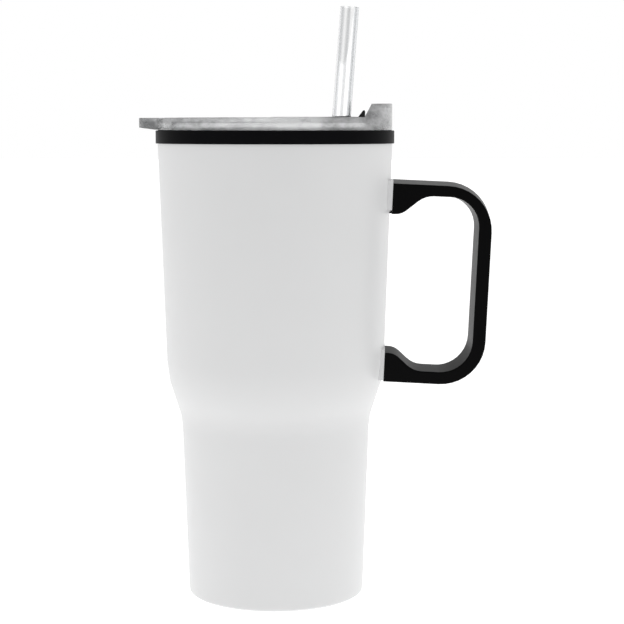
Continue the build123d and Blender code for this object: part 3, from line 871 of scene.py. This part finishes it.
def lid_disc():
    """The lid's turned part: rim, deck and plug, with the seal's groove."""
    groove_low, groove_high = seal_foot - SEAL_ROOM, seal_top + SEAL_ROOM
    groove = plug_radius - SEAL_GROOVE_DEPTH
    return turned(
        "lid",
        [
            (0, deck_top),
            (rim_radius, deck_top, FINE_ROUND * 2),
            (rim_radius, lid_top, RIM_ROUND),
            (lid_radius, lid_top, RIM_ROUND),
            (lid_radius, collar_top, FINE_ROUND),
            (rim_radius, collar_top, FINE_ROUND),
            (rim_radius, deck_underside, FINE_ROUND),
            (plug_radius, deck_underside, FINE_ROUND),
            (plug_radius, groove_high, FINE_ROUND / 2),
            (groove, groove_high, FINE_ROUND / 2),
            (groove, groove_low, FINE_ROUND / 2),
            (plug_radius, groove_low, FINE_ROUND / 2),
            (plug_radius, plug_foot, FINE_ROUND * 2),
            (plug_bore, plug_foot, FINE_ROUND * 2),
            (plug_bore, deck_underside, FINE_ROUND * 2),
            (0, deck_underside),
        ],
        closed=False,
    )


def lid_tab():
    """Lifting tab: a tapered plate with a turned-down edge."""
    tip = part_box("lid_body")[0].x
    root = -rim_radius
    solids = []
    for inset in (0.0, TAB_WALL):
        top = lid_top - inset
        low = lid_top - LID_HEIGHT - inset
        piece = plate("tab", (tip + inset, -1, low), (root, 1, top))
        with editing(piece):
            for side in (-1, 1):
                for x, width in ((tip + inset, TAB_TIP_WIDTH), (root, TAB_ROOT_WIDTH)):
                    pick(piece, "verts", lambda v: v.co.y * side > 0 and abs(v.co.x - x) < 1e-5)
                    shift = side * (width / 2 - inset) - side
                    bpy.ops.transform.translate(value=(0, shift, 0))
        with editing(piece, "EDGE"):
            pick(
                piece,
                "edges",
                lambda edge: abs(edge.verts[0].co.z - edge.verts[1].co.z) > 1e-5
                and edge.verts[0].co.x < root - 1e-4,
            )
            bpy.ops.mesh.bevel(offset=TAB_CORNER - inset, segments=8, affect="EDGES")
            tidy_mesh()
        solids.append(piece)
    body, hollow = solids
    side = slab(
        "tab_side",
        [
            (tip - 0.001, lid_top + 0.001),
            (root + 0.001, lid_top + 0.001),
            (root + 0.001, lid_top - TAB_ROOT_HEIGHT),
            (-lid_radius, lid_top - TAB_ROOT_HEIGHT),
            (tip, lid_top - TAB_TIP_HEIGHT),
            (tip - 0.001, lid_top - TAB_TIP_HEIGHT),
        ],
        -TAB_ROOT_WIDTH,
        TAB_ROOT_WIDTH,
    )
    combine(body, side, "INTERSECT")
    combine(hollow, rod("core", lid_radius, 0, lid_top * 2, steps=TURN_STEPS), "DIFFERENCE")
    combine(body, hollow, "DIFFERENCE")
    round_edges(body, FINE_ROUND, 2, lambda edge: sharp(edge) and middle(edge).x < -lid_radius)
    return body


def spout_side(inset):
    """The spout's outline at an inset: a ramp, a level top and an upright outer end."""
    top = spout_top - inset
    run_per_rise = RAMP_RUN / (spout_top - SPOUT_TOP_FALL - deck_top)
    start = ramp_toe + inset * sqrt(1 + run_per_rise**2)
    foot = deck_underside
    outer = lid_radius + 0.001 - inset
    return [
        (start - DECK_THICKNESS * run_per_rise, foot),
        (start + (top - SPOUT_TOP_FALL - deck_top) * run_per_rise, top - SPOUT_TOP_FALL),
        (outer, top),
        (outer, foot),
    ]


def lid_spout():
    """Raised segment along the lid's edge, level on top, with a ramp down to the deck."""
    body = slab("spout", spout_side(0.0), -lid_radius, lid_radius)
    combine(body, rod("edge", lid_radius, 0, 2 * lid_top, steps=TURN_STEPS), "INTERSECT")
    round_edges(
        body,
        SPOUT_ROUND,
        4,
        lambda edge: sharp(edge) and middle(edge).z > deck_underside + 0.0005,
    )
    return body


def spout_hollows():
    """Hollows that keep the spout's walls even: an arc outside the plug and two pockets inside it."""
    top = 2 * lid_top
    arc = slab("arc", spout_side(SPOUT_WALL), -lid_radius, lid_radius)
    combine(arc, rod("edge", rim_radius, 0, top, steps=TURN_STEPS), "INTERSECT")
    combine(arc, rod("plug", plug_radius, 0, top, steps=TURN_STEPS), "DIFFERENCE")
    pockets = slab("pockets", spout_side(SPOUT_WALL), -lid_radius, lid_radius)
    combine(pockets, rod("plug", plug_bore, 0, top, steps=TURN_STEPS), "INTERSECT")
    combine(pockets, plate("track", (0, -rail_side, 0), (lid_radius, rail_side, top)), "DIFFERENCE")
    boss = rod("boss", straw_relief + SPOUT_WALL, 0, top, straw_x, straw_y)
    combine(pockets, boss, "DIFFERENCE")
    hollows = [arc, pockets]
    for hollow in hollows:
        with editing(hollow):
            pick(hollow, "verts", lambda vertex: abs(vertex.co.z - deck_underside) < 1e-5)
            bpy.ops.transform.translate(value=(0, 0, -JOIN))
    return hollows


def slider_rails():
    """Two rails with lips over the slider's edges, and a stop across their inner end."""
    start = slider_low.x - SLIDER_TRAVEL - SLIDER_CLEARANCE
    lip_low = deck_top + SLIDER_THICKNESS + 2 * SLIDER_CLEARANCE
    top = lip_low + RAIL_LIP_HEIGHT
    foot = deck_top - JOIN
    stop = plate("stop", (start - RAIL_WALL, -rail_side, foot), (start, rail_side, top))
    round_edges(stop, FINE_ROUND, 3, lambda edge: middle(edge).z > foot + 1e-5)
    parts = [stop]
    for side in (-1, 1):
        inside, lip, outside = side * track_side, side * (track_side - RAIL_LIP), side * rail_side
        corners = [
            (inside, foot),
            (inside, lip_low),
            (lip, lip_low),
            (lip, top),
            (outside, top),
            (outside, foot),
        ]
        rail = slab("rail", corners, start - JOIN, ramp_toe + 0.001)
        with editing(rail):
            bpy.ops.transform.rotate(value=pi / 2, orient_axis="Z", center_override=(0, 0, 0))
            mesh = bmesh.from_edit_mesh(rail.data)
            turned_wrong = min(vertex.co.x for vertex in mesh.verts) < start - 0.01
            if turned_wrong:
                bpy.ops.transform.rotate(value=pi, orient_axis="Z", center_override=(0, 0, 0))
            tidy_mesh()
        parts.append(rail)
    return parts


def sip_cutter(margin, low, high):
    """A rounded block over the sip opening."""
    end = slider_high.x - SIP_SETBACK + margin
    side = SIP_WIDTH / 2 + margin
    start = slider_high.x - SIP_SETBACK - SIP_LENGTH - margin
    return plate("sip", (start, -side, low), (end, side, high), SIP_CORNER)


def lid(finish):
    """The whole clear lid, as one moulding."""
    piece = lid_disc()
    combine(piece, lid_tab(), "UNION")
    combine(piece, lid_spout(), "UNION")
    for hollow in spout_hollows():
        combine(piece, hollow, "DIFFERENCE")
    notch_end = slider_high.x + SLIDER_CLEARANCE
    high = spout_top + 0.001
    notch = plate("notch", (ramp_toe - 0.003, -track_side, deck_top), (notch_end, track_side, high))
    combine(piece, notch, "DIFFERENCE")
    relief = rod("relief", straw_relief, deck_top, high, straw_x, straw_y)
    combine(piece, relief, "DIFFERENCE")
    boss_top = deck_top + BOSS_RISE
    boss = rod("boss", sleeve_radius + BOSS_WALL, deck_top - JOIN, boss_top, straw_x, straw_y)
    round_edges(boss, FINE_ROUND, 3, lambda edge: middle(edge).z > boss_top - 1e-5)
    combine(piece, boss, "UNION")
    combine(piece, rod("bore", sleeve_radius, 0, high, straw_x, straw_y), "DIFFERENCE")
    for part in slider_rails():
        combine(piece, part, "UNION")
    combine(piece, sip_cutter(0, deck_underside - 0.001, deck_top + 0.001), "DIFFERENCE")
    vent = -(plug_bore - VENT_SETBACK)
    combine(piece, rod("vent", VENT_RADIUS, 0, high, vent, 0, steps=24), "DIFFERENCE")
    return finished(piece, finish, "lid", "lid_body", angle=radians(28))


def lid_seal(finish):
    """Silicone ring in the plug's groove, with two soft lips."""
    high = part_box("lid_seal")[1]
    inner = plug_radius - SEAL_GROOVE_DEPTH + SEAL_INNER_CLEARANCE
    base, tip = plug_radius + SEAL_ROOM, high.y
    piece = turned(
        "lid_seal_ring",
        [
            (inner, seal_foot),
            (tip, seal_foot, SEAL_LIP_ROUND),
            (tip, seal_foot + SEAL_LIP, SEAL_LIP_ROUND),
            (base, seal_foot + SEAL_LIP, SEAL_WAIST_ROUND),
            (base, seal_top - SEAL_LIP, SEAL_WAIST_ROUND),
            (tip, seal_top - SEAL_LIP, SEAL_LIP_ROUND),
            (tip, seal_top, SEAL_LIP_ROUND),
            (inner, seal_top),
        ],
    )
    return finished(piece, finish, "lid", "lid_seal")


def slider(finish):
    """Sliding plate with a thumb wedge at its nose and ribs behind it."""
    low, nose = slider_low.z, slider_high.x
    high = low + SLIDER_THICKNESS
    piece = plate("slider", slider_low, (nose, slider_high.y, high), SLIDER_CORNER)
    round_edges(piece, SLIDER_EDGE_ROUND, 2, sharp)
    face = nose - THUMB_NOSE_SETBACK
    wedge = slab(
        "thumb",
        [
            (nose - THUMB_LENGTH, high),
            (nose - THUMB_CREST, slider_high.z, THUMB_CREST_ROUND),
            (face, slider_high.z, FINE_ROUND),
            (face, high - JOIN),
            (nose - THUMB_LENGTH, high - JOIN),
        ],
        -THUMB_WIDTH / 2,
        THUMB_WIDTH / 2,
    )
    round_edges(
        wedge,
        FINE_ROUND,
        3,
        lambda edge: sharp(edge, radians(50)) and middle(edge).z > high + 1e-4,
    )
    combine(piece, wedge, "UNION")
    length, width, rise = GRIP_RIB_SIZE
    first = nose - THUMB_LENGTH - GRIP_RIB_PITCH
    for index in range(GRIP_RIBS):
        x = first - index * GRIP_RIB_PITCH
        rib_low = (x - length / 2, -width / 2, high - JOIN)
        rib_high = (x + length / 2, width / 2, high + rise)
        rib = plate("rib", rib_low, rib_high, GRIP_RIB_CORNER, 4)
        round_edges(rib, SLIDER_EDGE_ROUND, 3, lambda edge: middle(edge).z > high + rise - 1e-5)
        combine(piece, rib, "UNION")
    combine(piece, sip_cutter(SEAL_POCKET_MARGIN, low - 0.001, slide_seal_high.z), "DIFFERENCE")
    return finished(piece, finish, "slider", "slide_closure", weighted=True)


def slide_seal(finish):
    """Silicone pad under the slider, over the sip opening."""
    piece = plate("slide_seal_pad", slide_seal_low, slide_seal_high, SIP_CORNER)
    round_edges(piece, SLIDE_SEAL_ROUND, 2, sharp)
    return finished(piece, finish, "slider", "slide_seal")


# ---- Straw ----


def along_straw(piece):
    """Leans an upright piece, made round the Z axis from the deck's level, along the straw."""
    outwards = Vector((straw_x, straw_y, 0)).normalized() * sin(STRAW_LEAN)
    axis = outwards + Vector((0, 0, cos(STRAW_LEAN)))
    turn = axis.to_track_quat("Z", "Y").to_matrix().to_4x4()
    only(piece)
    piece.matrix_world = Matrix.Translation((straw_x, straw_y, deck_top)) @ turn
    bpy.ops.object.transform_apply(location=True, rotation=True, scale=True)
    return piece


def straw(finish):
    """Straight clear tube with rounded ends."""
    rim = STRAW_RADIUS * sin(STRAW_LEAN)
    low = (straw_foot + rim - deck_top) / cos(STRAW_LEAN)
    high = (straw_top - rim - deck_top) / cos(STRAW_LEAN)
    bore = STRAW_RADIUS - STRAW_WALL
    piece = turned(
        "straw_tube",
        [
            (bore, low, STRAW_LIP_ROUND),
            (STRAW_RADIUS, low, STRAW_LIP_ROUND),
            (STRAW_RADIUS, high, STRAW_LIP_ROUND),
            (bore, high, STRAW_LIP_ROUND),
        ],
    )
    return finished(along_straw(piece), finish, "straw", "straw")


def grommet(finish):
    """Silicone sleeve with a cap on the boss and a lip under the deck, bored along the straw."""
    cap_low = deck_top + BOSS_RISE
    cap_high = cap_low + GROMMET_CAP
    lip_low = deck_underside - GROMMET_LIP
    sleeve = sleeve_radius - GROMMET_SETBACK
    piece = turned(
        "grommet",
        [
            (0, lip_low),
            (sleeve + GROMMET_LIP, lip_low, GROMMET_LIP * 0.5),
            (sleeve + GROMMET_LIP, deck_underside),
            (sleeve, deck_underside),
            (sleeve, cap_low),
            (sleeve + GROMMET_FLANGE, cap_low),
            (sleeve + GROMMET_FLANGE, cap_high, GROMMET_CAP * 0.6),
            (0, cap_high),
        ],
        closed=False,
    )
    only(piece)
    piece.location = (straw_x, straw_y, 0)
    bpy.ops.object.transform_apply(location=True, rotation=True, scale=True)
    bore = rod("bore", STRAW_RADIUS + GROMMET_CLEARANCE, -0.02, 0.02, steps=96)
    combine(piece, along_straw(bore), "DIFFERENCE")
    return finished(piece, finish, "lid", "straw_grommet")


# ---- Camera, stage and light ----

CAMERA_DISTANCE = 0.708  # from the cup's axis, level
CAMERA_HEIGHT = 0.1985
CAMERA_AZIMUTH = radians(3.5)  # towards the handle
CAMERA_PITCH = radians(6.27)
CAMERA_YAW = radians(1.255)
FOCAL_LENGTH = 96.6
SENSOR_WIDTH = 36.0


def look():
    """The camera, level with the lid and turned a little to the right of the cup's axis."""
    data = bpy.data.cameras.new("camera")
    data.lens, data.sensor_width = FOCAL_LENGTH, SENSOR_WIDTH
    data.clip_start, data.clip_end = 0.01, 50
    camera = bpy.data.objects.new("camera", data)
    bpy.context.scene.collection.objects.link(camera)
    camera.location = (
        CAMERA_DISTANCE * sin(CAMERA_AZIMUTH),
        -CAMERA_DISTANCE * cos(CAMERA_AZIMUTH),
        CAMERA_HEIGHT,
    )
    camera.rotation_euler = (pi / 2 - CAMERA_PITCH, 0, CAMERA_AZIMUTH - CAMERA_YAW)
    bpy.context.scene.camera = camera


FLOOR_SIZE = 20.0
FLOOR_GLOW = 0.80  # the floor's own light at the cup, as on a light table
FLOOR_GLOW_FAR = 0.60
FLOOR_GLOW_REACH = 0.6
FRONT_LIGHT = 0.42  # brightness of the studio straight behind the camera
ROUND_LIGHT = 0.90  # and everywhere round it
TOP_LIGHT = 0.8


def floor():
    """White floor that glows a little, so that it also lights the cup from below."""
    bpy.ops.object.select_all(action="DESELECT")
    bpy.ops.mesh.primitive_plane_add(size=FLOOR_SIZE)
    piece = named("floor")
    paint = Finish("floor_paint", None)
    distance = paint.node("VectorMath", {"operation": "LENGTH"}, {0: paint.place()}, output="Value")
    ranges = {
        "Value": distance,
        "From Min": 0.1,
        "From Max": FLOOR_GLOW_REACH,
        "To Min": FLOOR_GLOW,
        "To Max": FLOOR_GLOW_FAR,
    }
    glow = paint.node("MapRange", {"interpolation_type": "SMOOTHSTEP"}, ranges)
    paint.set(
        colour=paint.blend(paint.noise(3, 2), (0.80, 0.80, 0.80), (0.82, 0.82, 0.82)),
        roughness=0.9,
        glow=glow,
        glow_strength=1.0,
    )
    piece.data.materials.append(paint.material)


def studio():
    """A plain white studio whose light comes from the sides, from above and from behind."""
    world = bpy.data.worlds.new("studio")
    world.use_nodes = True
    bpy.context.scene.world = world
    light = Nodes(world.node_tree)
    direction = light.node("TexCoord", output="Generated")
    front = light.node("SeparateXYZ", inputs={"Vector": direction}, output="Y")
    ranges = {
        "Value": front,
        "From Min": -0.97,
        "From Max": -0.35,
        "To Min": FRONT_LIGHT,
        "To Max": ROUND_LIGHT,
    }
    around = light.node("MapRange", {"interpolation_type": "SMOOTHSTEP"}, ranges)
    up = light.node("SeparateXYZ", inputs={"Vector": direction}, output="Z")
    above = {"Value": up, "From Min": 0.4, "From Max": 1.0, "To Min": 1.0, "To Max": TOP_LIGHT}
    level = around * light.node("MapRange", inputs=above)
    seen = light.node("LightPath", output="Is Camera Ray")
    white = light.math("MAXIMUM", level, seen)
    background = world.node_tree.nodes["Background"]
    light.feed(background, {"Color": white})


def recoat(node, finish):
    """Gives a solid that stays as it is a better finish."""
    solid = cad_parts[node]
    solid.data.materials.clear()
    solid.data.materials.append(finish.material)


look()
floor()
studio()
bpy.context.scene.view_settings.view_transform = "Standard"

coat = powder_coat()
collar_plastic = black_moulding("collar_plastic", "black_plastic", 0.34, 0.003, 0.016)
handle_plastic = black_moulding("handle_plastic", "handle_plastic", 0.26, 0.0006, 0.05)
slider_plastic = black_moulding("slider_plastic", "dark_plastic", 0.22, 0.008, 0.4)
seal_rubber = silicone("seal_rubber", "seal_rubber")
pad_rubber = silicone("pad_rubber", "pad_rubber", 0.03)
steel = brushed_steel()

shell(coat)
foot_pad(pad_rubber)
liner(collar_plastic)
handle(handle_plastic)
handle_spacers(coat)
lid(lid_plastic())
lid_seal(seal_rubber)
slider(slider_plastic)
slide_seal(seal_rubber)
straw(straw_plastic())
grommet(seal_rubber)
for node in ("base_plate", "handle_screws", "saddle_washers"):
    recoat(node, steel)
recoat("collar_gasket", seal_rubber)
